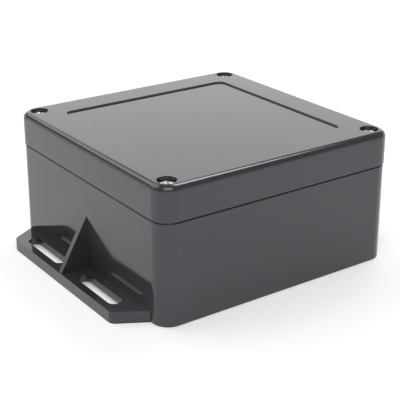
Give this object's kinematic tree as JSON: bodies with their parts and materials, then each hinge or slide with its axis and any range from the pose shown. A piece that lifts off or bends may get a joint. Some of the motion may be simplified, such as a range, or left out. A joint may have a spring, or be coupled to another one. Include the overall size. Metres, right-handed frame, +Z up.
{
  "type": "plastic project box",
  "caption": "Black moulded project box with a screwed, gasketed lid, a recessed lid panel and a gusseted, slotted mounting flange on two opposite sides.",
  "frame": {"origin": "middle of the underside, at the bottom centre of the overall box", "axes": "+Z up through the lid; +Y towards one mounting flange, the other is on -Y; the flange slots run along X"},
  "size_m": [0.12, 0.1464, 0.06],
  "materials": {
    "shell": "glossy moulded ABS",
    "seal": "soft matt rubber",
    "screw_steel": "plain stainless steel",
    "insert_brass": "turned brass"
  },
  "bodies": {
    "base": {"base": "shell", "insert_front_left": "insert_brass", "insert_front_right": "insert_brass", "insert_rear_left": "insert_brass", "insert_rear_right": "insert_brass"},
    "lid": {"lid": "shell", "gasket": "seal"},
    "screw_front_left": {"lid_screw_front_left": "screw_steel"},
    "screw_front_right": {"lid_screw_front_right": "screw_steel"},
    "screw_rear_left": {"lid_screw_rear_left": "screw_steel"},
    "screw_rear_right": {"lid_screw_rear_right": "screw_steel"}
  },
  "joints": [
    {"name": "lid_lift", "type": "slide", "parent": "base", "child": "lid", "axis": [0, 0, 1], "range_m": [0, 0.07]},
    {"name": "screw_front_left_out", "type": "slide", "parent": "lid", "child": "screw_front_left", "axis": [0, 0, 1], "range_m": [0, 0.009]},
    {"name": "screw_front_right_out", "type": "slide", "parent": "lid", "child": "screw_front_right", "axis": [0, 0, 1], "range_m": [0, 0.009]},
    {"name": "screw_rear_left_out", "type": "slide", "parent": "lid", "child": "screw_rear_left", "axis": [0, 0, 1], "range_m": [0, 0.009]},
    {"name": "screw_rear_right_out", "type": "slide", "parent": "lid", "child": "screw_rear_right", "axis": [0, 0, 1], "range_m": [0, 0.009]}
  ]
}
